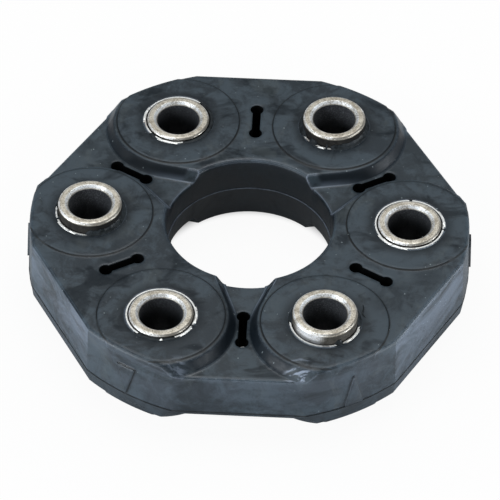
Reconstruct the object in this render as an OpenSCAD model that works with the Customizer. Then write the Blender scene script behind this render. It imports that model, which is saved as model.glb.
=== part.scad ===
// Driveshaft flex disc: a six-hole rubber coupling with steel sleeves and buried cord loops.
// The disc lies flat, its axis is Z and its mid-plane is z = 0.
// Bushing 1 is on +X and the others follow every 60 degrees, counter-clockwise from above.

/* [Disc] */
// Pitch circle diameter of the six bushings
pcd = 96; // [95:0.5:104]
// Thickness of the rubber over the bushing pads
body_h = 23.2; // [21:0.2:26]
// Radius of the open centre
hole_r = 25.3; // [22:0.1:26]
// Rubber from a bushing centre out to the rounded corner
corner_margin = 18; // [17.5:0.5:22]
// How far each flat side is cut in from the rounded corners
flat_cut = 2.9; // [2:0.1:4.6]
// Rounding of the rim and of the edges of the open centre
edge_r = 1.3; // [0.6:0.1:1.5]

/* [Mould lines] */
// Height of the rim's parting line above the lower pads
part_rise = 5.6; // [4.6:0.1:7]
// Height of the rim below the parting line at the thin links
web_lip = 1.2; // [0.9:0.1:1.8]
// Outward lean of the rim above the parting line
wall_draft = 0.6; // [0.2:0.1:1]
// Inward lean of the rim below the parting line
low_draft = 0.6; // [0.2:0.1:1]
// How much the open centre narrows towards its mid-plane
hole_draft = 0.5; // [0.1:0.1:0.8]

/* [Pads and links] */
// Radius of the flat pad round each bushing
pad_r = 19; // [17.5:0.25:19.5]
// Height of a pad above the thick links
pad_step = 0.35; // [0.2:0.05:0.6]
// Ledge from a pad's edge to the top of its side slope
shoulder = 0.8; // [0.6:0.1:1.2]
// Sideways run of the slope from a shoulder down to a thin link
slope_run = 2.2; // [1:0.1:2.4]
// Rounding at the top of a side slope
shoulder_round = 0.8; // [0.4:0.1:1]
// Hollow fillet at the foot of a side slope
root_r = 1.3; // [0.8:0.1:1.5]
// Depth of the thin links below the upper pads
valley_top = 3.8; // [3:0.1:5]
// Rounding of a thin link's upper edges
web_round = 0.9; // [0.4:0.1:1.2]
// Rounding of a thin link's lower edges
web_round_low = 0.4; // [0.2:0.1:0.5]
// Set-back of the walls from the pads to the thick links, and from those to the thin links
set_back = 0.05; // [0.02:0.01:0.1]
// Half width of a thin link's channel where it opens into the centre
mouth_half = 9.3; // [7:0.1:10]

/* [Slots] */
// Diameter of the round ends of the radial slots
slot_lobe_d = 4; // [3:0.2:4.4]
// Width of the radial slots between their ends
slot_waist = 2.5; // [1.6:0.1:2.8]
// Distance from the bushing line in to the inner slot end
slot_in = 4.1; // [3:0.1:5]
// Distance from the bushing line out to the outer slot end
slot_out = 6.4; // [5:0.1:7]

/* [Sleeves] */
// Bore of the steel sleeves
bore_d = 13; // [12:0.1:14]
// Wall thickness of the sleeves
sleeve_wall = 3.05; // [2.5:0.05:3.5]
// Height of a sleeve above its pad on the side where a flange seats
proud = 4; // [2:0.25:6]
// Height of a sleeve above its pad on the other side
flush = 1; // [0.5:0.25:1.5]
// Chamfer at both ends of the bore
bore_chamfer = 1; // [0.4:0.1:1.2]
// Rounding of the sleeve's outer end edges
sleeve_round = 0.9; // [0.4:0.1:1.2]

/* [Collars] */
// Outer radius of the buried collar flanges
collar_r = 16.4; // [14:0.2:16.6]
// Sheet thickness of the collars
collar_t = 1.2; // [0.8:0.1:1.4]
// Wall of the collar lip that shows round each sleeve
lip_wall = 0.85; // [0.5:0.05:0.9]
// Height of the collar lip above the pad
lip_rise = 0.15; // [0.05:0.05:0.3]
// Flare of the lip away from the sleeve at its mouth
lip_flare = 0.35; // [0.15:0.05:0.4]
// Depth of that flare
lip_depth = 0.7; // [0.3:0.1:1]
// Rubber over the collar flanges
skin = 1.2; // [0.9:0.1:1.6]

/* [Cord loops] */
// Rubber between a cord loop and the open centre or a corner of the rim
cord_cover = 2.2; // [1.5:0.1:3.5]
// Height of the single cord loop in a thin link
coast_h = 4.2; // [3:0.1:5]
// Rubber between a cord loop and the steel or cord next to it
bond = 0.4; // [0.2:0.05:0.6]
// Rounding of the cord loops' edges
cord_round = 0.8; // [0.3:0.1:1]

/* [Arrows] */
// Width of an arrow mark on the rim
arrow_w = 6; // [4:0.5:8]
// Length of an arrow mark
arrow_l = 11; // [8:0.5:12]
// Height of the arrow marks off the rim
arrow_rise = 0.6; // [0.3:0.1:0.8]
// Gap from an arrow mark down to the rim's parting line
arrow_gap = 0.7; // [0.4:0.1:1.5]

/* [Hidden] */

$fn = 96;
// Overlap for cuts that run out into the open
cut = 1;
// How far a hollow fillet runs under the floor that it blends into
sink = 0.06;

pitch = pcd / 2;
link_c = pitch * cos(30);
corner_r = pitch + corner_margin;
flat_a = corner_r - flat_cut;

z_pad = body_h / 2;
z_link = z_pad - pad_step;
z_web_top = z_pad - valley_top;
z_part = part_rise - z_pad;
z_web_low = z_part - web_lip;

part_drop = body_h - part_rise;
up_lean = atan(wall_draft / part_drop);
low_lean = atan(low_draft / part_rise);
hole_lean = atan(hole_draft / z_pad);

bore_r = bore_d / 2;
sleeve_r = bore_r + sleeve_wall;
z_proud = z_pad + proud;
z_flush = z_pad + flush;

z_flange = z_pad - skin;
z_collar = z_flange - collar_t;
z_lip = z_pad + lip_rise;
lip_r = sleeve_r + lip_wall;

cord_in = sleeve_r + bond;
cord_out = min(link_c - hole_r, corner_margin) - cord_cover;
drive_low = coast_h / 2 + bond;
drive_top = z_collar - bond;
drive_h = drive_top - drive_low;
drive_mid = (drive_top + drive_low) / 2;

shoulder_r = pad_r + shoulder;

// Reach of the rim at height z, for the round corners (s = corner_r) or the flats (s = flat_a)
function rim_up(s, z) = s + wall_draft * (z_pad - z) / part_drop;
function rim_low(s, z) = s + wall_draft - low_draft * (z_part - z) / part_rise;
// Reach of the open centre's wall at height z
function hole_at(z) = hole_r - hole_draft * (1 - abs(z) / z_pad);
// Distance from a leaning wall in to the centre of a rounding that is tangent to it and to a flat face
function inset(r, lean) = r * (1 - sin(lean)) / cos(lean);

// Even bushings stand proud on the upper side, odd ones on the lower side
function is_up(i) = i % 2 == 0;
function bush_angle(i) = 60 * (i - 1);

// Points along a rounding of radius r about c, from angle a0 to angle a1 in n steps
function arc(c, r, a0, a1, n = 4) =
    [for (i = [0 : n]) c + r * [cos(a0 + (a1 - a0) * i / n), sin(a0 + (a1 - a0) * i / n)]];

// Section of the rim, from its lower rounding up to its upper rounding, each in n steps
function rim_points(s, zt, zb, rt, rb, n) = concat(
    arc([rim_low(s, zb) - inset(rb, low_lean), zb + rb], rb, -90, -low_lean, n),
    [[s + wall_draft, z_part]],
    arc([rim_up(s, zt) - inset(rt, up_lean), zt - rt], rt, up_lean, 90, n));

// Section of the open centre's wall set back by d, from its upper rounding down to its lower rounding
function hole_points(zt, zb, rt, rb, d) = concat(
    arc([hole_at(zt) + d + inset(rt, hole_lean), zt - rt], rt, 90, 180 - hole_lean),
    [[hole_at(0) + d, 0]],
    arc([hole_at(zb) + d + inset(rb, hole_lean), zb + rb], rb, 180 + hole_lean, 270));

// A slab whose two faces are opposite flats of the outline, set back by d
module flats(angle, zt, zb, rt, rb, d) {
    side = rim_points(flat_a - d, zt, zb, rt, rb, 3);
    back = [for (i = [len(side) - 1 : -1 : 0]) [-side[i][0], side[i][1]]];
    rotate([0, 0, angle]) rotate([90, 0, 0])
        linear_extrude(4 * corner_r, center = true) polygon(concat(side, back));
}

// The whole moulded outline between two heights, with rounded edges and its walls set back by d
module outline(zt, zb, rt, rb, d) {
    rim = rim_points(corner_r - d, zt, zb, rt, rb, 4);
    intersection() {
        rotate_extrude() polygon(concat(rim, hole_points(zt, zb, rt, rb, d)));
        flats(30, zt, zb, rt, rb, d);
        flats(90, zt, zb, rt, rb, d);
        flats(150, zt, zb, rt, rb, d);
    }
}

// One side slope, from under the floor of the thin link up past the top of the raised ground
function slope_points(floor_z) =
    let (top = z_link + sink,
         low = floor_z - sink,
         lean = atan(slope_run / (z_link - floor_z)),
         c1 = shoulder_r - inset(shoulder_round, lean),
         c2 = shoulder_r + (top - low - root_r) * tan(lean) + root_r / cos(lean))
    concat([[c2, 0]],
        arc([c2, low + root_r], root_r, 270, 180 + lean, 3),
        arc([c1, top - shoulder_round], shoulder_round, lean, 90, 3));

// Half section of the raised ground round a bushing, with its slopes down to the thin link on both faces
module ground_section() {
    up = slope_points(z_web_top);
    low = slope_points(-z_web_low);
    polygon(concat(
        [[0, -z_link - sink]],
        [for (i = [len(low) - 1 : -1 : 0]) [low[i][0], -low[i][1]]],
        up,
        [[0, z_link + sink]]));
}

// Raised ground beside one bushing, as seen along its thin link: half a turn about the bushing,
// then straight on, tangent to that turn, from the channel's narrow place to its mouth at the open centre
module ground() {
    mouth_x = sqrt(hole_r * hole_r - mouth_half * mouth_half);
    reach = norm([link_c - mouth_x, pitch / 2 - mouth_half]);
    lean = asin(shoulder_r / reach) - atan2(pitch / 2 - mouth_half, link_c - mouth_x);
    translate([link_c, pitch / 2, 0]) rotate([0, 0, -90 - lean]) {
        rotate_extrude(angle = 180) ground_section();
        rotate([90, 0, 0]) linear_extrude(link_c - mouth_x + 4 * cut) ground_section();
    }
}

// Everything that is raised above the thin links: three thick links with the ground of their bushings
module raised() {
    for (k = [0 : 2]) {
        rotate([0, 0, 30 + 120 * k]) {
            ground();
            mirror([0, 1, 0]) ground();
        }
        rotate([0, 0, 90 + 120 * k]) linear_extrude(body_h, center = true)
            polygon([[0, 0], [2 * corner_r * cos(30), -corner_r], [2 * corner_r * cos(30), corner_r]]);
    }
}

// One pad's disc, with the small sloping step at its edge, let into the ground below its rounded rim
module pad() {
    low = z_link - edge_r - cut;
    high = z_pad + cut;
    rotate_extrude() polygon([
        [0, low], [pad_r + sink, low], [pad_r + sink, z_link - sink], [pad_r + z_link - high, high], [0, high]]);
}

// Arrow mark on the rim at a bushing, pointing to the side where the sleeve stands proud
module arrow(up) {
    low = z_part + arrow_gap;
    mid = low + arrow_l / 2;
    tip = up ? arrow_l / 2 : -arrow_l / 2;
    intersection() {
        rotate_extrude() polygon([
            [corner_r - edge_r, z_part],
            [rim_up(corner_r, z_part) + arrow_rise, z_part],
            [rim_up(corner_r, z_pad) + arrow_rise, z_pad],
            [corner_r - edge_r, z_pad]]);
        translate([pitch, 0, mid]) rotate([90, 0, 90]) linear_extrude(2 * corner_margin)
            polygon([[-arrow_w / 2, -tip], [arrow_w / 2, -tip], [0, tip]]);
    }
}

// Room in the rubber for one sleeve and its two collars
module bush_room() {
    far = z_proud + cut;
    rotate_extrude() polygon([
        [0, -far], [lip_r, -far], [lip_r, -z_flange], [collar_r, -z_flange], [collar_r, -z_collar],
        [sleeve_r, -z_collar], [sleeve_r, z_collar], [collar_r, z_collar], [collar_r, z_flange],
        [lip_r, z_flange], [lip_r, far], [0, far]]);
}

// Radial slot with round ends, right through a link
module slot() {
    linear_extrude(body_h + 2 * cut, center = true) {
        translate([link_c - slot_in, 0]) circle(d = slot_lobe_d);
        translate([link_c + slot_out, 0]) circle(d = slot_lobe_d);
        translate([link_c - slot_in, -slot_waist / 2]) square([slot_in + slot_out, slot_waist]);
    }
}

// Outline of a loop of cord round two neighbouring bushings, at distance r from their centres
module loop_outline(r) {
    translate([0, pitch / 2]) circle(r);
    translate([0, -pitch / 2]) circle(r);
    square([2 * r, pitch], center = true);
}

// One layer of a cord loop
module loop_layer(r_in, r_out, h) {
    linear_extrude(h, center = true) difference() {
        loop_outline(r_out);
        loop_outline(r_in);
    }
}

// A cord loop with its edges stepped back
module cord_loop(h, z) {
    translate([link_c, 0, z]) {
        loop_layer(cord_in, cord_out, h - 2 * cord_round);
        loop_layer(cord_in + cord_round / 2, cord_out - cord_round / 2, h);
    }
}

// The moulded disc before the inserts are let in
module moulding() {
    outline(z_web_top, z_web_low, web_round, web_round_low, 2 * set_back);
    intersection() {
        outline(z_link, -z_link, edge_r, edge_r, set_back);
        raised();
    }
    intersection() {
        outline(z_pad, -z_pad, edge_r, edge_r, 0);
        for (i = [1 : 6]) rotate([0, 0, bush_angle(i)]) translate([pitch, 0, 0]) {
            pad();
            mirror([0, 0, 1]) pad();
        }
    }
    for (i = [1 : 6]) rotate([0, 0, bush_angle(i)]) arrow(is_up(i));
}

module rubber_body() {
    color("#3c4248") difference() {
        moulding();
        for (i = [1 : 6]) rotate([0, 0, bush_angle(i)]) translate([pitch, 0, 0]) bush_room();
        for (k = [0 : 5]) rotate([0, 0, 30 + 60 * k]) slot();
        for (k = [0 : 2]) {
            rotate([0, 0, 90 + 120 * k]) cord_loop(drive_h, drive_mid);
            rotate([0, 0, 90 + 120 * k]) cord_loop(drive_h, -drive_mid);
            rotate([0, 0, 30 + 120 * k]) cord_loop(coast_h, 0);
        }
    }
}

// Half section of a sleeve between two heights
module sleeve_section(zt, zb) {
    r = sleeve_r - sleeve_round;
    polygon([
        [bore_r, zb + bore_chamfer], [bore_r + bore_chamfer, zb], [r, zb], [sleeve_r, zb + sleeve_round],
        [sleeve_r, zt - sleeve_round], [r, zt], [bore_r + bore_chamfer, zt], [bore_r, zt - bore_chamfer]]);
    translate([r, zt - sleeve_round]) circle(sleeve_round);
    translate([r, zb + sleeve_round]) circle(sleeve_round);
}

module sleeve(i) {
    color("#b9b4a8") rotate([0, 0, bush_angle(i)]) translate([pitch, 0, 0]) rotate_extrude()
        sleeve_section(is_up(i) ? z_proud : z_flush, is_up(i) ? -z_flush : -z_proud);
}

// Pressed collar: a buried flange with a lip that comes up round the sleeve
module collar_shape() {
    rotate_extrude() polygon([
        [sleeve_r, z_collar], [collar_r, z_collar], [collar_r, z_flange], [lip_r, z_flange],
        [lip_r, z_lip], [sleeve_r + lip_flare, z_lip], [sleeve_r, z_lip - lip_depth]]);
}

module collar(i, side) {
    color("#d4d6d8") rotate([0, 0, bush_angle(i)]) translate([pitch, 0, 0])
        if (side > 0) collar_shape();
        else mirror([0, 0, 1]) collar_shape();
}

module drive_cord(k, side) {
    color("#c9bd9c") rotate([0, 0, 120 * k - 30]) cord_loop(drive_h, side * drive_mid);
}

module coast_cord(k) {
    color("#c9bd9c") rotate([0, 0, 120 * k - 90]) cord_loop(coast_h, 0);
}

rubber_body();
sleeve(1);  // sleeve_1
sleeve(2);  // sleeve_2
sleeve(3);  // sleeve_3
sleeve(4);  // sleeve_4
sleeve(5);  // sleeve_5
sleeve(6);  // sleeve_6
collar(1, 1);  // collar_upper_1
collar(2, 1);  // collar_upper_2
collar(3, 1);  // collar_upper_3
collar(4, 1);  // collar_upper_4
collar(5, 1);  // collar_upper_5
collar(6, 1);  // collar_upper_6
collar(1, -1);  // collar_lower_1
collar(2, -1);  // collar_lower_2
collar(3, -1);  // collar_lower_3
collar(4, -1);  // collar_lower_4
collar(5, -1);  // collar_lower_5
collar(6, -1);  // collar_lower_6
drive_cord(1, 1);  // drive_cord_upper_1
drive_cord(2, 1);  // drive_cord_upper_2
drive_cord(3, 1);  // drive_cord_upper_3
drive_cord(1, -1);  // drive_cord_lower_1
drive_cord(2, -1);  // drive_cord_lower_2
drive_cord(3, -1);  // drive_cord_lower_3
coast_cord(1);  // coast_cord_1
coast_cord(2);  // coast_cord_2
coast_cord(3);  // coast_cord_3
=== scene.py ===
import math
import bmesh
import bpy
from mathutils import Matrix, Vector


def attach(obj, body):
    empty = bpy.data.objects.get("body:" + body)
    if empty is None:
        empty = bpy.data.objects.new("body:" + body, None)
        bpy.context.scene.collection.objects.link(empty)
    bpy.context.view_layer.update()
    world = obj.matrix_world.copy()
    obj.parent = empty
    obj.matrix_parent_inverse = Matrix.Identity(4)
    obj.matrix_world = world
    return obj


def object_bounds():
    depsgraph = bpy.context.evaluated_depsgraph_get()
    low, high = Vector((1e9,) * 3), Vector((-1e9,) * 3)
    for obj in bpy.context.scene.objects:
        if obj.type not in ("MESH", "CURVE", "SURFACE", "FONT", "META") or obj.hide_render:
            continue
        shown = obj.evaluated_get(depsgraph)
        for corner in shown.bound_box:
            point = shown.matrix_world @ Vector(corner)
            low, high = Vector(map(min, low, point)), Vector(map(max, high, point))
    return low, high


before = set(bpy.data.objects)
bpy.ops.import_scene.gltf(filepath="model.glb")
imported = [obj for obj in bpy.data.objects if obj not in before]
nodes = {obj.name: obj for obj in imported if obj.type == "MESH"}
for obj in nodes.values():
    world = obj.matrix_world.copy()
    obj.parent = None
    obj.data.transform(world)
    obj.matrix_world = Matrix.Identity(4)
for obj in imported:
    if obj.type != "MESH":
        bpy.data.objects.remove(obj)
cad_lo, cad_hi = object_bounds()
scene = bpy.context.scene
scene.view_settings.view_transform = "Standard"

# Sizes of the part, in millimetres, as in the solids
PITCH = 48.0
PAD_Z = 11.6
WEB_Z = 7.8
PART_Z = -6.0
BORE_R = 6.5
WAIST_R = 24.8
MM = 0.001

# Distance from the disc's axis at which the rim's wall begins, as the ends of a soft step
RIM_FROM = (58.6, 59.8)

# Scuffs painted as bright highlights, and darker places on the rubber: x, y, reach and strength
SCUFF_SHEENS = [(17.0, -60.8, 5.0, 0.9), (-18.5, -61.0, 4.0, 0.2)]
STAINS = [(-44.0, 27.0, 9.0, 0.9), (-28.5, 13.5, 5.0, 0.8), (-51.0, 31.0, 6.0, 0.7),
          (44.0, -31.0, 11.0, 0.8), (54.0, -22.0, 8.0, 0.6), (-52.0, -12.0, 7.0, 0.5)]

# Where the noise of the dark smears starts, in metres
SMEAR_SHIFT = (0.073, 0.047, 0.0)


# Shader helper: adds nodes and links them
class Shade:
    def __init__(self, name):
        self.mat = bpy.data.materials.new(name)
        self.mat.use_nodes = True
        self.t = self.mat.node_tree
        self.t.nodes.clear()
        self.out = self.t.nodes.new("ShaderNodeOutputMaterial")
        self.coord = self.new("TexCoord").outputs["Object"]

    def put(self, socket, value):
        if isinstance(value, bpy.types.NodeSocket):
            self.t.links.new(value, socket)
        else:
            socket.default_value = value

    def new(self, kind, props=None, **ins):
        n = self.t.nodes.new("ShaderNode" + kind)
        for k, v in (props or {}).items():
            setattr(n, k, v)
        for k, v in ins.items():
            self.put(n.inputs[k.replace("_", " ")], v)
        return n

    def math(self, op, a, b=0.0, c=None):
        n = self.t.nodes.new("ShaderNodeMath")
        n.operation = op
        self.put(n.inputs[0], a)
        self.put(n.inputs[1], b)
        if c is not None:
            self.put(n.inputs[2], c)
        return n.outputs[0]

    def add(self, a, b):
        return self.math("ADD", a, b)

    def sub(self, a, b):
        return self.math("SUBTRACT", a, b)

    def mul(self, a, b):
        return self.math("MULTIPLY", a, b)

    def top(self, a, b):
        return self.math("MAXIMUM", a, b)

    def ease(self, x, lo, hi, a=0.0, b=1.0):
        n = self.t.nodes.new("ShaderNodeMapRange")
        n.interpolation_type = "SMOOTHSTEP"
        self.put(n.inputs["Value"], x)
        for k, v in (("From Min", lo), ("From Max", hi), ("To Min", a), ("To Max", b)):
            n.inputs[k].default_value = v
        return n.outputs["Result"]

    def band(self, x, mid, half, soft):
        d = self.math("ABSOLUTE", self.sub(x, mid))
        return self.ease(d, half, half + soft, 1.0, 0.0)

    def noise(self, scale, detail=4.0, rough=0.55, twist=0.0, vec=None):
        n = self.new("TexNoise", Scale=scale, Detail=detail, Roughness=rough, Distortion=twist,
                     Vector=self.coord if vec is None else vec)
        return n.outputs["Fac"]

    def spread(self, sx, sy, sz, shift=(0.0, 0.0, 0.0)):
        n = self.new("Mapping", Vector=self.coord, Scale=(sx, sy, sz), Location=shift)
        return n.outputs["Vector"]

    def specks(self, scale, size, share, vec=None):
        flat = {} if vec is None else {"voronoi_dimensions": "2D"}
        v = self.new("TexVoronoi", flat, Vector=self.coord if vec is None else vec, Scale=scale)
        near = self.ease(v.outputs["Distance"], size * 0.5, size, 1.0, 0.0)
        chance = self.new("SeparateColor", Color=v.outputs["Color"]).outputs[0]
        pick = self.ease(chance, 1 - share, 1 - share + 0.01)
        return self.mul(near, pick)

    def mix(self, fac, a, b):
        n = self.t.nodes.new("ShaderNodeMix")
        n.data_type = "RGBA"
        self.put(n.inputs[0], fac)
        for s, v in ((n.inputs[6], a), (n.inputs[7], b)):
            if isinstance(v, tuple):
                v = (*v, 1.0)
            self.put(s, v)
        return n.outputs[2]

    def place(self):
        """x, y and z in millimetres"""
        s = self.new("SeparateXYZ", Vector=self.coord).outputs
        return [self.mul(s[i], 1 / MM) for i in range(3)]

    def length(self, x, y):
        return self.math("SQRT", self.add(self.mul(x, x), self.mul(y, y)))

    def sector(self, x, y, half=0.0):
        """Distance along and across the nearest of six spokes, the first at half times 30 degrees"""
        step = math.pi / 3
        turn = self.sub(self.math("ARCTAN2", y, x), half * step / 2)
        a = self.sub(turn, self.mul(self.math("ROUND", self.mul(turn, 1 / step)), step))
        far = self.length(x, y)
        return self.mul(far, self.math("COSINE", a)), self.mul(far, self.math("SINE", a))

    def from_bushing(self, x, y):
        """Distance in millimetres from the axis of the nearest bushing"""
        u, v = self.sector(x, y)
        return self.length(self.sub(u, PITCH), v)

    def dot(self, a, b):
        n = self.new("VectorMath", {"operation": "DOT_PRODUCT"})
        self.put(n.inputs[0], a)
        self.put(n.inputs[1], b)
        return n.outputs["Value"]

    def bump(self, height, strength, distance, normal=None):
        n = self.new("Bump", Strength=strength, Distance=distance, Height=height)
        if normal is not None:
            self.put(n.inputs["Normal"], normal)
        return n.outputs["Normal"]

    def finish(self, shader):
        self.t.links.new(shader, self.out.inputs["Surface"])
        return self.mat


def spot_at(s, x, y, mark):
    """Soft round spot at a mark of x, y, reach and strength"""
    away = s.length(s.sub(x, mark[0]), s.sub(y, mark[1]))
    return s.ease(away, mark[2] * 0.3, mark[2], mark[3], 0.0)


def rubber_material():
    s = Shade("rubber")
    x, y, z = s.place()
    geo = s.new("NewGeometry").outputs
    n = s.new("SeparateXYZ", Vector=geo["True Normal"]).outputs
    rho = s.length(x, y)
    r = s.from_bushing(x, y)
    across = s.math("ABSOLUTE", s.sector(x, y, 1.0)[1])

    # Where the surface is: rim, flats of the thick links, open centre, slots, slopes and floors of the
    # channels, and the rim below the parting line
    wall = s.ease(s.math("ABSOLUTE", n[2]), 0.25, 0.6, 1.0, 0.0)
    rim = s.mul(wall, s.ease(rho, *RIM_FROM))
    turn = s.math("ARCTAN2", n[1], n[0])
    thick = s.mul(rim, s.ease(s.mul(s.math("SINE", s.mul(turn, 3.0)), -1.0), 0.75, 0.98))
    hole = s.mul(wall, s.ease(rho, 28.0, 30.0, 1.0, 0.0))
    slot = s.mul(wall, s.mul(s.ease(rho, 30.0, 31.5), s.ease(rho, *RIM_FROM, 1.0, 0.0)))
    slope = s.mul(s.ease(n[2], 0.25, 0.45), s.ease(n[2], 0.80, 0.95, 1.0, 0.0))
    slope = s.mul(slope, s.mul(s.ease(rho, 27.5, 29.0), s.ease(rho, 61.0, 62.5, 1.0, 0.0)))
    web = s.mul(s.ease(n[2], 0.9, 0.97), s.band(z, WEB_Z, 0.3, 0.3))
    below = s.mul(rim, s.ease(z, PART_Z - 0.6, PART_Z, 1.0, 0.0))

    # Edges that stand out, but not on the arrows, the pads' rings and the slots, and creases
    soft = s.new("Bevel", {"samples": 8}, Radius=0.0014).outputs["Normal"]
    close = s.new("AmbientOcclusion", {"samples": 6, "only_local": True}, Distance=0.0012).outputs["AO"]
    edge = s.ease(s.dot(soft, geo["True Normal"]), 0.90, 0.995, 1.0, 0.0)
    edge = s.mul(edge, s.ease(close, 0.86, 0.98))
    edge = s.mul(edge, s.sub(1.0, s.mul(rim, s.ease(z, 6.2, 7.0, 1.0, 0.0))))
    edge = s.mul(edge, s.sub(1.0, s.top(slot, s.mul(s.band(r, 18.9, 0.6, 0.3), s.ease(z, 10.7, 11.1)))))
    mouth = s.mul(s.ease(across, 4.4, 4.9, 1.0, 0.0), s.band(rho, 43.5, 12.0, 1.0))
    edge = s.mul(edge, s.sub(1.0, mouth))

    # Base tone with soft clouds and fine grain
    cloud = s.noise(34.0, 5.0, 0.6, 0.6)
    mottle = s.noise(150.0, 6.0, 0.64, 1.2)
    grain = s.noise(1500.0, 3.0, 0.6)
    tone = s.add(s.mul(cloud, 0.45), s.add(s.mul(mottle, 0.42), s.mul(grain, 0.13)))
    colour = s.mix(s.ease(tone, 0.44, 0.56), (0.0084, 0.0152, 0.0215), (0.0295, 0.0445, 0.0570))

    # Darker glossy smears left by the mould, and dusty ones
    smear = s.ease(s.noise(62.0, 4.0, 0.58, 0.9, s.spread(1.0, 1.5, 0.8, SMEAR_SHIFT)), 0.50, 0.66)
    blot = s.noise(130.0, 5.0, 0.62, 0.8)
    for mark in STAINS:
        smear = s.top(smear, s.mul(spot_at(s, x, y, mark), s.ease(blot, 0.38, 0.58, 0.25, 1.0)))
    smear = s.mul(smear, s.sub(1.0, s.mul(rim, 0.5)))
    dusty = s.ease(s.noise(48.0, 6.0, 0.64, 1.6, s.spread(1.3, 0.9, 1.0)), 0.55, 0.70)
    colour = s.mix(s.mul(smear, 0.8), colour, (0.0042, 0.0076, 0.0112))
    colour = s.mix(s.top(s.mul(dusty, 0.30), s.mul(web, 0.06)), colour, (0.066, 0.080, 0.082))

    # Painted shade on the ground round the sleeves, darkest at their feet
    sleeve_shade = s.mul(s.ease(r, 10.6, 15.0, 0.75, 0.0), s.ease(z, 11.0, 11.4))
    colour = s.mix(sleeve_shade, colour, (0.0050, 0.0082, 0.0112))

    # Painted shade: darker colour on the channels' slopes, in the open centre and in the slots, where little
    # light reaches
    colour = s.mix(s.top(s.mul(slope, 0.90), s.mul(hole, 0.75)), colour, (0.0032, 0.0062, 0.0098))
    colour = s.mix(slot, colour, (0.0016, 0.0020, 0.0024))

    # Pale bloom on the rim, in streaks along it and mostly on the flats of the thick links, with painted
    # light that makes it stronger towards the rim's top edge
    streak = s.noise(58.0, 7.0, 0.68, 1.0, s.spread(0.7, 0.7, 2.0))
    bloom_and_light = s.mul(s.ease(streak, 0.36, 0.62), s.add(s.mul(rim, 0.18), s.mul(thick, 0.52)))
    bloom_and_light = s.mul(bloom_and_light, s.ease(z, -6.0, 9.5, 0.55, 1.2))
    colour = s.mix(bloom_and_light, colour, (0.128, 0.155, 0.196))
    # Darker below the parting line
    colour = s.mix(s.mul(below, 0.45), colour, (0.0100, 0.0140, 0.0175))

    # Painted highlights on the edges and at the roots of the slopes, which are also polished smoother, and
    # scuffs painted as bright highlights at the outer corners of one channel
    polish_and_highlight = s.mul(edge, s.ease(s.noise(70.0, 5.0, 0.65, 0.8), 0.38, 0.58, 0.15, 1.0))
    polish_and_highlight = s.mul(polish_and_highlight, s.ease(rho, 27.0, 31.0, 0.3, 1.0))
    polish_and_highlight = s.top(polish_and_highlight, s.mul(edge, s.ease(rho, 60.5, 62.0, 0.0, 0.65)))
    brink_highlight = s.mul(s.mul(edge, s.ease(z, 8.5, 9.5, 0.35, 1.0)), s.ease(rho, 28.0, 29.5, 1.0, 0.0))
    brink_highlight = s.mul(brink_highlight, s.ease(z, 6.0, 7.0))
    polish_and_highlight = s.top(polish_and_highlight, brink_highlight)
    # Painted highlight at the roots of the slopes
    root = s.mul(s.ease(n[2], 0.76, 0.86), s.ease(n[2], 0.95, 0.99, 1.0, 0.0))
    root = s.mul(root, s.band(z, WEB_Z + 0.4, 0.9, 0.4))
    root = s.top(root, s.mul(slope, s.ease(z, 8.0, 9.8, 0.7, 0.0)))
    polish_and_highlight = s.top(polish_and_highlight, s.mul(root, s.ease(rho, 29.0, 42.0, 0.7, 0.0)))
    lay = s.new("Mapping", Vector=s.coord, Rotation=(0.0, 0.0, 0.6), Scale=(1.0, 3.6, 1.0))
    crumple = s.noise(190.0, 4.0, 0.6, 0.8, lay.outputs["Vector"])
    scuff_sheen = 0.0
    for mark in SCUFF_SHEENS:
        spot = s.mul(spot_at(s, x, y, mark), s.mul(s.ease(z, 7.0, 8.0), s.sub(1.0, wall)))
        scuff_sheen = s.top(scuff_sheen, s.mul(spot, s.ease(crumple, 0.48, 0.62)))
    polish_and_highlight = s.top(polish_and_highlight, scuff_sheen)
    colour = s.mix(s.mul(polish_and_highlight, 0.85), colour, (0.150, 0.182, 0.228))
    # Brighter painted highlight on the scuffs and at the brink of the open centre
    bright_highlight = s.top(scuff_sheen, s.mul(brink_highlight, s.ease(s.noise(55.0, 4.0, 0.6), 0.42, 0.58)))
    colour = s.mix(bright_highlight, colour, (0.270, 0.310, 0.380))

    # Mould line on the rim, the creases and the rings round the pads, darkened as painted shade
    wave = s.mul(s.sub(s.noise(60.0, 2.0), 0.5), 0.25)
    line = s.mul(rim, s.band(s.add(z, wave), PART_Z + 0.12, 0.16, 0.22))
    ring = s.mul(s.band(r, 18.95, 0.16, 0.18), s.band(z, 11.3, 0.36, 0.1))
    ring = s.mul(ring, s.ease(mottle, 0.35, 0.6, 0.6, 1.0))
    crease_shade = s.top(s.top(ring, s.mul(line, 0.9)), s.ease(close, 0.38, 0.88, 0.95, 0.0))
    colour = s.mix(crease_shade, colour, (0.0030, 0.0045, 0.0055))

    # Lint and dust
    lint = s.top(s.specks(105.0, 0.026, 0.35, s.coord), s.specks(300.0, 0.05, 0.12, s.coord))
    lint = s.mul(lint, s.sub(1.0, wall))
    around = s.new("CombineXYZ", X=s.mul(s.math("ARCTAN2", y, x), 0.066), Y=s.mul(z, MM)).outputs[0]
    lint = s.top(lint, s.mul(rim, s.specks(150.0, 0.028, 0.22, around)))
    colour = s.mix(s.mul(lint, s.ease(cloud, 0.42, 0.60, 0.25, 0.85)), colour, (0.24, 0.28, 0.29))

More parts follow.
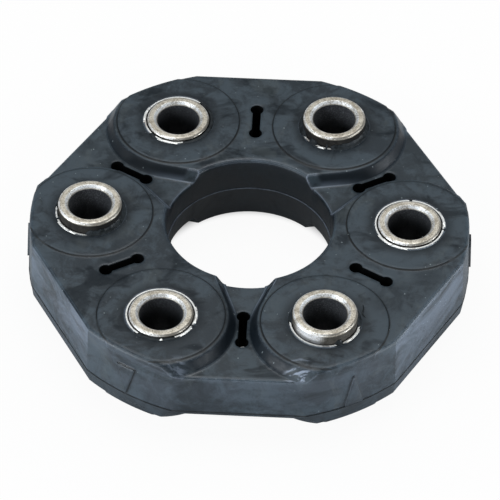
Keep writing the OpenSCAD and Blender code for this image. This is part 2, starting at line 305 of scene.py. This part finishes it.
    rough = s.add(s.ease(tone, 0.38, 0.62, 0.40, 0.54), s.add(s.mul(bloom_and_light, 0.14), s.mul(smear, -0.12)))
    rough = s.add(s.sub(rough, s.mul(polish_and_highlight, 0.14)), s.mul(slot, 0.35))
    height = s.add(s.mul(mottle, 0.6), s.mul(grain, 0.22))
    normal = s.bump(height, 0.35, 0.0003, soft)
    normal = s.bump(s.sub(1.0, line), 0.5, 0.0002, normal)
    p = s.new("BsdfPrincipled", Base_Color=colour, Roughness=rough, Normal=normal)
    dull = s.top(s.top(s.mul(smear, 0.45), s.mul(slope, 0.6)), s.top(s.mul(sleeve_shade, 0.7), slot))
    s.put(p.inputs["Specular IOR Level"], s.ease(dull, 0.0, 1.0, 0.42, 0.10))
    return s.finish(p.outputs[0])


def film_material(name, dark, light, gloss):
    """Thin rubber, mottled from dark to light"""
    s = Shade(name)
    mottle = s.noise(500.0, 5.0, 0.62, 0.8)
    colour = s.mix(s.ease(mottle, 0.35, 0.65), dark, light)
    normal = s.bump(mottle, 0.3, 0.0002)
    rough = s.ease(mottle, 0.3, 0.7, 0.42, 0.60)
    p = s.new("BsdfPrincipled", Base_Color=colour, Roughness=rough, Normal=normal)
    p.inputs["Specular IOR Level"].default_value = gloss
    return s.finish(p.outputs[0])


def steel_material():
    s = Shade("sleeve_steel")
    x, y, z = s.place()
    r = s.from_bushing(x, y)
    n = s.new("SeparateXYZ", Vector=s.new("NewGeometry").outputs["True Normal"]).outputs
    steep = s.math("ABSOLUTE", n[2])
    tall = s.math("ABSOLUTE", z)
    flat = s.ease(steep, 0.55, 0.8)
    bore = s.ease(r, BORE_R, BORE_R + 0.16, 1.0, 0.0)
    cone = s.mul(s.ease(r, BORE_R + 0.12, BORE_R + 0.4), s.ease(r, BORE_R + 0.85, BORE_R + 1.2, 1.0, 0.0))
    side = s.mul(s.ease(steep, 0.2, 0.5, 1.0, 0.0), s.ease(r, 9.2, 9.45))
    brow = s.mul(s.ease(steep, 0.25, 0.5), s.ease(steep, 0.86, 0.97, 1.0, 0.0))
    brow = s.mul(brow, s.ease(r, 8.6, 8.9))

    # Grey, slightly warm and grainy steel with paler chamfers
    grain = s.noise(2600.0, 3.0, 0.68)
    cloud = s.noise(420.0, 4.0, 0.6, 0.5)
    tone = s.add(s.mul(grain, 0.55), s.mul(cloud, 0.45))
    colour = s.mix(s.ease(tone, 0.40, 0.60), (0.31, 0.272, 0.216), (0.62, 0.570, 0.485))
    colour = s.mix(s.mul(cone, s.ease(tone, 0.40, 0.58, 0.2, 1.0)), colour, (0.95, 0.96, 0.97))

    # Painted light on the shoulders and sides: lighter on the side facing the light, darker on the side away
    # from it
    level = s.math("SQRT", s.top(s.sub(1.0, s.mul(steep, steep)), 0.01))
    lit_side = s.ease(s.math("DIVIDE", s.add(s.mul(n[0], -0.53), s.mul(n[1], -0.85)), level), 0.80, 0.96)
    lit_side = s.mul(lit_side, s.ease(y, -38.0, -14.0, 1.0, 0.0))
    dull = s.ease(s.math("DIVIDE", s.add(s.mul(n[0], 0.77), s.mul(n[1], -0.64)), level), 0.45, 0.90)
    brow_highlight = s.mul(brow, s.mul(s.sub(1.0, dull), s.ease(tone, 0.42, 0.58, 0.1, 1.0)))
    colour = s.mix(brow_highlight, colour, (0.92, 0.92, 0.92))
    colour = s.mix(s.mul(s.mul(brow, dull), 0.75), colour, (0.15, 0.138, 0.122))
    side_highlight = s.mul(s.mul(side, lit_side), s.ease(tone, 0.40, 0.56, 0.3, 1.0))
    colour = s.mix(side_highlight, colour, (0.86, 0.86, 0.87))

    # Pits, brown stains, and rubber smut low on the sides, thinner on the side facing the light as painted
    # light
    pits = s.specks(1000.0, 0.24, 0.20)
    stain = s.ease(s.noise(300.0, 5.0, 0.65, 1.0), 0.58, 0.70)
    colour = s.mix(s.mul(s.mul(pits, flat), 0.75), colour, (0.07, 0.05, 0.03))
    colour = s.mix(s.mul(stain, 0.4), colour, (0.20, 0.155, 0.105))
    smut_and_shade = s.sub(s.ease(tall, 14.5, 15.0, 1.0, 0.25), s.mul(lit_side, s.ease(tall, 12.3, 13.6, 0.1, 0.9)))
    smut_and_shade = s.mul(side, s.top(smut_and_shade, 0.0))
    smut_and_shade = s.mul(smut_and_shade, s.ease(s.noise(70.0, 5.0, 0.62, 0.8), 0.38, 0.52, 0.96, 1.0))
    smut_and_shade = s.mul(smut_and_shade, s.ease(y, -42.0, -30.0, 0.90, 1.0))
    colour = s.mix(smut_and_shade, colour, (0.012, 0.0115, 0.011))

    # Painted shade in the bore, darkest deep inside, with painted glints of grey grain near its ends
    bore_shade = s.mix(s.ease(tall, 3.5, 13.0), (0.0110, 0.0122, 0.0134), (0.105, 0.110, 0.120))
    bore_glint = s.mul(s.ease(tall, 6.0, 12.5, 0.05, 1.0), s.ease(grain, 0.48, 0.66, 0.0, 0.8))
    colour = s.mix(bore, colour, s.mix(bore_glint, bore_shade, (0.330, 0.340, 0.360)))
    rough = s.add(s.ease(tone, 0.35, 0.65, 0.46, 0.30), s.add(s.mul(flat, 0.14), s.mul(smut_and_shade, 0.30)))
    metal = s.sub(0.8, s.top(s.top(s.mul(bore, 0.6), s.mul(smut_and_shade, 0.7)), s.mul(s.mul(side, lit_side), 0.6)))
    soft = s.new("Bevel", {"samples": 4}, Radius=0.0003).outputs["Normal"]
    normal = s.bump(tone, 0.4, 0.0001, soft)
    p = s.new("BsdfPrincipled", Base_Color=colour, Roughness=rough, Metallic=metal, Normal=normal)
    s.put(p.inputs["Specular IOR Level"], s.sub(0.5, s.mul(smut_and_shade, 0.38)))
    return s.finish(p.outputs[0])


def collar_material():
    s = Shade("collar_steel")
    x, y, _ = s.place()
    r = s.from_bushing(x, y)
    grain = s.noise(1800.0, 4.0, 0.65)
    patch = s.noise(300.0, 5.0, 0.62, 1.0)
    tone = s.add(s.mul(grain, 0.5), s.mul(patch, 0.5))
    colour = s.mix(s.ease(tone, 0.38, 0.60), (0.66, 0.645, 0.605), (0.95, 0.94, 0.91))
    rust = s.ease(s.noise(190.0, 5.0, 0.66, 1.2), 0.57, 0.66)
    colour = s.mix(s.mul(rust, 0.5), colour, (0.17, 0.11, 0.065))
    # Painted shade in the gap at the lip's inner edge, and dirt in patches
    dirt_and_gap_shade = s.top(s.ease(r, 9.88, 10.04, 1.0, 0.0), s.mul(s.ease(patch, 0.60, 0.66), 0.7))
    colour = s.mix(dirt_and_gap_shade, colour, (0.012, 0.013, 0.014))
    rough = s.add(s.ease(tone, 0.35, 0.65, 0.48, 0.30), s.mul(dirt_and_gap_shade, 0.2))
    normal = s.bump(tone, 0.4, 0.0001)
    metal = s.sub(0.45, s.mul(dirt_and_gap_shade, 0.45))
    p = s.new("BsdfPrincipled", Base_Color=colour, Roughness=rough, Metallic=metal, Normal=normal)
    return s.finish(p.outputs[0])


def cord_material():
    s = Shade("cord")
    weave = s.new("TexWave", {"wave_type": "BANDS", "bands_direction": "DIAGONAL"},
                  Vector=s.coord, Scale=700.0, Distortion=2.0, Detail=2.0).outputs["Fac"]
    fuzz = s.noise(1400.0, 4.0, 0.6)
    colour = s.mix(s.add(s.mul(weave, 0.6), s.mul(fuzz, 0.4)), (0.36, 0.30, 0.19), (0.66, 0.58, 0.42))
    normal = s.bump(weave, 0.6, 0.0002)
    rough = s.ease(fuzz, 0.3, 0.7, 0.75, 0.9)
    p = s.new("BsdfPrincipled", Base_Color=colour, Roughness=rough, Normal=normal)
    return s.finish(p.outputs[0])


def floor_material():
    s = Shade("floor")
    path = s.new("LightPath").outputs
    cloud = s.noise(3.0, 3.0, 0.5)
    x, y, _ = s.place()
    rho = s.length(x, y)
    # Painted shadow: where the floor lies under the disc and under its front slot the white glow is held
    # back, so the floor shows darker there
    near = s.ease(rho, 49.0, 57.0, 1.0, 0.0)
    front = s.mul(s.ease(rho, 25.0, 26.2), s.ease(y, -18.0, -12.0, 1.0, 0.0))
    under = s.mul(near, s.top(s.ease(rho, 28.0, 34.0), front))
    white = s.mul(s.ease(rho, 62.0, 125.0, 0.95, 0.98), s.sub(1.0, s.mul(under, 0.94)))
    eye = s.mul(s.top(path["Is Camera Ray"], path["Is Transmission Ray"]), white)
    gloss = s.mul(path["Is Glossy Ray"], s.ease(rho, 56.0, 110.0, 0.0, 0.8))
    paint = s.new("BsdfDiffuse", Color=s.mix(cloud, (0.60, 0.60, 0.60), (0.64, 0.64, 0.64)))
    glow = s.new("Emission", Color=(1.0, 1.0, 1.0, 1.0), Strength=1.0)
    both = s.new("MixShader", Fac=s.top(eye, gloss))
    s.t.links.new(paint.outputs[0], both.inputs[1])
    s.t.links.new(glow.outputs[0], both.inputs[2])

    # Clear from below, so that the underside can be looked at
    beneath = s.mul(path["Is Camera Ray"], s.new("NewGeometry").outputs["Backfacing"])
    sides = s.new("MixShader", Fac=beneath)
    s.t.links.new(both.outputs[0], sides.inputs[1])
    s.t.links.new(s.new("BsdfTransparent").outputs[0], sides.inputs[2])
    return s.finish(sides.outputs[0])


def dress(prefix, material):
    for name, o in nodes.items():
        if name.startswith(prefix):
            o.data.materials.clear()
            o.data.materials.append(material)


RUBBER = rubber_material()
STEEL = steel_material()
COLLAR = collar_material()
CORD = cord_material()
FILM = film_material("rubber_film", (0.004, 0.006, 0.007), (0.016, 0.020, 0.023), 0.18)
# Paler rubber on the centre seam's ridge, a painted highlight
SEAM_HIGHLIGHT = film_material("rubber_seam_highlight", (0.055, 0.068, 0.090), (0.110, 0.132, 0.165), 0.40)
dress("rubber_body", RUBBER)
dress("sleeve_", STEEL)
dress("collar_", COLLAR)
dress("drive_cord", CORD)
dress("coast_cord", CORD)


# Small pieces that only the scene has
def swing(i, deg):
    """Centre of bushing i, and the direction at this angle round it"""
    a = math.radians(60 * (i - 1))
    d = math.radians(deg)
    return Vector((PITCH * math.cos(a), PITCH * math.sin(a), 0)), Vector((math.cos(d), math.sin(d), 0))


def ripple(t, seed):
    """Uneven wave between -1 and 1"""
    slow = math.sin(t * 0.31 + seed * 1.7)
    quick = 0.6 * math.sin(t * 0.83 + seed * 2.9)
    return (slow + quick + 0.4 * math.sin(t * 1.9 + seed * 0.7)) / 2.0


# How much a strip swells, as a share of its height, and wanders in radius, in millimetres
SWELL = 0.22
WANDER = 0.10


def strip(verts, faces, i, start, end, section, seed, flip):
    """Adds one tapered closed strip that follows the ring from start to end degrees"""
    steps = max(6, int(abs(end - start) / 2.0))
    rings = []
    for k in range(steps + 1):
        deg = start + (end - start) * k / steps
        ends = min(1.0, min(k, steps - k) / max(1.0, min(5.0, steps * 0.3)))
        swell = max(0.0, ends * (1.0 + SWELL * ripple(deg, seed)))
        centre, out = swing(i, deg)
        ring = []
        for r, h, grow in section:
            rr = r + WANDER * ripple(deg * 1.7, seed + 3) * (1 if grow else 0)
            zz = (PAD_Z + h * (swell if grow else 1.0)) * (-1 if flip else 1)
            ring.append(len(verts))
            verts.append((centre + out * rr + Vector((0, 0, zz))) * MM)
        rings.append(ring)
    m = len(section)
    for a, b in zip(rings, rings[1:]):
        for k in range(m):
            f = [a[k], b[k], b[(k + 1) % m], a[(k + 1) % m]]
            faces.append(f if flip else f[::-1])
    faces.append(rings[0] if flip else rings[0][::-1])
    faces.append(rings[-1][::-1] if flip else rings[-1])


def piece(name, verts, faces, material):
    mesh = bpy.data.meshes.new(name)
    mesh.from_pydata([tuple(v) for v in verts], [], faces)
    mesh.update()
    bm = bmesh.new()
    bm.from_mesh(mesh)
    bmesh.ops.recalc_face_normals(bm, faces=bm.faces)
    bm.to_mesh(mesh)
    bm.free()
    for f in mesh.polygons:
        f.use_smooth = True
    mesh.materials.append(material)
    o = bpy.data.objects.new(name, mesh)
    scene.collection.objects.link(o)
    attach(o, "root")


def hoop_faces(steps, corners):
    """Faces of a closed hoop whose sections have this many corners"""
    faces = []
    for k in range(steps):
        a, b = corners * k, corners * ((k + 1) % steps)
        for j in range(corners):
            faces.append([a + j, b + j, b + (j + 1) % corners, a + (j + 1) % corners])
    return faces


# Sections as radius, height above the pad, and whether the point swells along the strip
LOW_FILM = [(11.00, -0.03, False), (10.75, 0.11, True), (10.40, 0.27, True), (9.95, 0.25, True),
            (9.75, 0.10, False), (10.3, -0.05, False)]
HIGH_FILM = [(10.85, -0.03, False), (10.65, 0.12, True), (10.30, 0.32, True), (9.86, 0.72, True),
             (9.70, 1.22, True), (9.57, 1.40, True), (9.57, 0.02, False), (10.3, -0.05, False)]
SHRED = [(10.78, 0.02, False), (10.72, 0.20, True), (10.35, 0.31, True), (9.96, 0.24, True),
         (9.96, 0.05, False)]

# Where rubber still covers the collar lips, in degrees round each bushing, upper side then lower side
UPPER = {1: [(349, 354), (85, 93)], 2: [(-98, 214), (221, 243), (256, 261)],
         3: [(-84, 58), (216, 234)], 4: [(-97, 178), (199, 205)],
         5: [(333, 339), (226, 303)], 6: [(-14, 190), (288, 305)]}
LOWER = {1: [(-50, 120), (150, 200)], 2: [(10, 40), (200, 214)],
         3: [(70, 250), (280, 330)], 4: [(120, 150), (300, 318)],
         5: [(-20, 160), (190, 230)], 6: [(60, 84), (250, 262)]}
for i in range(1, 7):
    verts, faces = [], []
    for n, (a, b) in enumerate(UPPER[i]):
        strip(verts, faces, i, a, b, HIGH_FILM if i % 2 == 0 else LOW_FILM, i * 5 + n, False)
    for n, (a, b) in enumerate(LOWER[i]):
        strip(verts, faces, i, a, b, HIGH_FILM if i % 2 == 1 else LOW_FILM, i * 7 + n, True)
    piece(f"film_{i}", verts, faces, FILM)

# Pale torn slivers of the upper collar lips, in degrees round each bushing
SLIVERS = {1: [(-3, 36), (208, 268)], 2: [(244, 255)], 3: [(150, 190), (237, 273)], 4: [(208, 250)],
           5: [(305, 332), (342, 380), (270, 277)], 6: [(308, 345)]}
for i, spans in SLIVERS.items():
    verts, faces = [], []
    for n, (a, b) in enumerate(spans):
        strip(verts, faces, i, a, b, SHRED, i * 3 + n, False)
    piece(f"lip_sliver_{i}", verts, faces, COLLAR)

# One torn strand of rubber beside a sleeve, from its bushing's axis and its pad, in millimetres
STRAND = [(10.9, 7.4, 0.02), (11.1, 6.3, 0.22), (11.15, 5.1, 0.42),
          (10.85, 3.9, 0.30), (11.2, 3.0, 0.14), (11.9, 2.2, 0.02)]
STRAND_STEPS, STRAND_SIDES = 40, 6
STRAND_TIP, STRAND_SWELL, STRAND_FLAT = 0.06, 0.13, 0.7
centre, _ = swing(6, 0)
path = []
for k in range(STRAND_STEPS + 1):
    u = k / STRAND_STEPS * (len(STRAND) - 1)
    j = min(int(u), len(STRAND) - 2)
    pts = [Vector(STRAND[max(0, min(len(STRAND) - 1, j + d))]) for d in (-1, 0, 1, 2)]
    w = u - j
    path.append(0.5 * (2 * pts[1] + (pts[2] - pts[0]) * w
                       + (2 * pts[0] - 5 * pts[1] + 4 * pts[2] - pts[3]) * w * w
                       + (3 * pts[1] - pts[0] - 3 * pts[2] + pts[3]) * w ** 3))
verts, faces = [], []
for k, at in enumerate(path):
    along = (path[min(STRAND_STEPS, k + 1)] - path[max(0, k - 1)]).normalized()
    over = along.cross(Vector((0, 0, 1))).normalized()
    lift = over.cross(along)
    thick = STRAND_TIP + STRAND_SWELL * math.sin(math.pi * k / STRAND_STEPS) ** 0.6
    for j in range(STRAND_SIDES):
        turn = math.tau * j / STRAND_SIDES
        spoke = over * math.cos(turn) + lift * math.sin(turn) * STRAND_FLAT
        verts.append((centre + at + Vector((0, 0, PAD_Z)) + spoke * thick) * MM)
for k in range(STRAND_STEPS):
    a, b = STRAND_SIDES * k, STRAND_SIDES * (k + 1)
    for j in range(STRAND_SIDES):
        faces.append([a + j, a + (j + 1) % STRAND_SIDES, b + (j + 1) % STRAND_SIDES, b + j])
faces.append(list(range(STRAND_SIDES))[::-1])
faces.append([STRAND_SIDES * STRAND_STEPS + j for j in range(STRAND_SIDES)])
piece("rubber_strand", verts, faces, FILM)

# Fine ridge where the mould's cores met in the open centre: radius and height of its section's corners
RIDGE = ((WAIST_R + 0.20, 0.20), (WAIST_R - 0.20, 0.05), (WAIST_R - 0.20, -0.05), (WAIST_R + 0.20, -0.20))
RIDGE_STEPS, RIDGE_WAVE = 240, 0.06
verts = []
for k in range(RIDGE_STEPS):
    turn = math.tau * k / RIDGE_STEPS
    d = Vector((math.cos(turn), math.sin(turn), 0))
    rise = RIDGE_WAVE * ripple(k * 1.5, 6)
    for r, h in RIDGE:
        verts.append((d * r + Vector((0, 0, h + rise))) * MM)
piece("centre_seam", verts, hoop_faces(RIDGE_STEPS, len(RIDGE)), SEAM_HIGHLIGHT)

# Thin flash that the mould left along the parting line, where the rim's corners and flats lie this far out
CORNER_R, FLAT_A = 66.55, 63.65
FLASH_STEPS = 720
FLASH_ROOT, FLASH_REACH, FLASH_LEAST = 0.25, 0.13, 0.02
verts = []
for k in range(FLASH_STEPS):
    deg = 360.0 * k / FLASH_STEPS
    off = math.radians((deg % 60.0) - 30.0)
    wall = min(CORNER_R, FLAT_A / math.cos(off))
    reach = FLASH_REACH + 0.07 * ripple(deg * 0.9, 4) + 0.03 * ripple(deg * 4.1, 9)
    reach = max(FLASH_LEAST, reach)
    drop = 0.05 * ripple(deg * 0.35, 2)
    d = Vector((math.cos(math.radians(deg)), math.sin(math.radians(deg)), 0))
    section = ((wall - FLASH_ROOT, 0.10), (wall + reach, 0.02),
               (wall + reach * 0.8, -0.08), (wall - FLASH_ROOT, -0.16))
    for r, h in section:
        v = d * r
        v.y = max(cad_lo[1] / MM, min(cad_hi[1] / MM, v.y))
        verts.append((v + Vector((0, 0, PART_Z + drop + h))) * MM)
piece("parting_flash", verts, hoop_faces(FLASH_STEPS, len(section)), FILM)

# Floor just under the lower sleeves, in metres
FLOOR_SIZE, FLOOR_GAP = 6.0, 0.00005
bpy.ops.mesh.primitive_plane_add(size=FLOOR_SIZE, location=(0, 0, cad_lo[2] - FLOOR_GAP))
floor = bpy.context.object
floor.name = "floor"
floor.data.materials.append(floor_material())


# Lights, all aimed at the disc's centre
def softbox(name, place, size, power, colour):
    light = bpy.data.lights.new(name, "AREA")
    light.shape = "RECTANGLE"
    light.size, light.size_y = size
    light.energy = power
    light.color = colour
    o = bpy.data.objects.new(name, light)
    o.location = place
    o.rotation_euler = (Vector((0, 0, 0)) - Vector(place)).to_track_quat("-Z", "Y").to_euler()
    scene.collection.objects.link(o)


COOL = (0.88, 0.94, 1.0)
softbox("overhead", (0.0, 0.22, 1.1), (0.8, 0.6), 9.0, (0.95, 0.98, 1.0))
softbox("left", (-0.95, -0.60, 0.04), (0.7, 0.10), 9.4, COOL)
softbox("right", (1.05, -0.26, 0.04), (0.7, 0.10), 10.5, COOL)
softbox("key", (-0.75, -0.55, 0.65), (0.35, 0.35), 3.0, (0.86, 0.93, 1.0))
softbox("front", (-0.1, -1.2, 0.05), (0.9, 0.12), 3.0, COOL)

# White for the eye, a little less for gloss, and a low even light for the rest
world = bpy.data.worlds.new("studio")
scene.world = world
world.use_nodes = True
wt = world.node_tree
wt.nodes.clear()
w_out = wt.nodes.new("ShaderNodeOutputWorld")
w_path = wt.nodes.new("ShaderNodeLightPath")


def sky(colour, strength):
    n = wt.nodes.new("ShaderNodeBackground")
    n.inputs["Color"].default_value = (*colour, 1.0)
    n.inputs["Strength"].default_value = strength
    return n.outputs[0]


def split(ray, other, shown):
    n = wt.nodes.new("ShaderNodeMixShader")
    wt.links.new(w_path.outputs[ray], n.inputs[0])
    wt.links.new(other, n.inputs[1])
    wt.links.new(shown, n.inputs[2])
    return n.outputs[0]


w_seen = sky((1.0, 1.0, 1.0), 1.0)
w_mix = split("Is Glossy Ray", sky((0.94, 0.97, 1.0), 0.22), sky((0.89, 0.955, 1.0), 0.38))
w_mix = split("Is Camera Ray", split("Is Transmission Ray", w_mix, w_seen), w_seen)
wt.links.new(w_mix, w_out.inputs["Surface"])

# Camera fitted to the six bores: angles, distance in millimetres, focal length and offsets in picture points
PICTURE_W, SENSOR_W = 500.0, 36.0
EL, AZ, ROLL = math.radians(44.654), math.radians(-2.0588), math.radians(0.947)
DIST, FOCAL = 1155.385, 3849.065
OFF_X, OFF_Y = 0.334, 31.947
ahead = Vector((math.sin(AZ), math.cos(AZ), 0.0))
right = Vector((math.cos(AZ), -math.sin(AZ), 0.0))
eye = Vector((0, 0, PAD_Z)) - ahead * DIST * math.cos(EL) + Vector((0, 0, DIST * math.sin(EL)))
forward = ahead * math.cos(EL) - Vector((0, 0, math.sin(EL)))
up = ahead * math.sin(EL) + Vector((0, 0, math.cos(EL)))
u0 = OFF_X * math.cos(ROLL) + OFF_Y * math.sin(ROLL)
v0 = OFF_Y * math.cos(ROLL) - OFF_X * math.sin(ROLL)
back = -(forward * FOCAL + right * u0 - up * v0).normalized()
tall = up * math.cos(ROLL) - right * math.sin(ROLL)
tall = (tall - back * tall.dot(back)).normalized()
side = tall.cross(back)
cam = bpy.data.cameras.new("camera")
cam.sensor_width = SENSOR_W
cam.lens = FOCAL * SENSOR_W / PICTURE_W
cam.clip_start, cam.clip_end = 0.05, 20.0
eye_obj = bpy.data.objects.new("camera", cam)
eye_obj.matrix_world = Matrix.Translation(eye * MM) @ Matrix((side, tall, back)).transposed().to_4x4()
scene.collection.objects.link(eye_obj)
scene.camera = eye_obj
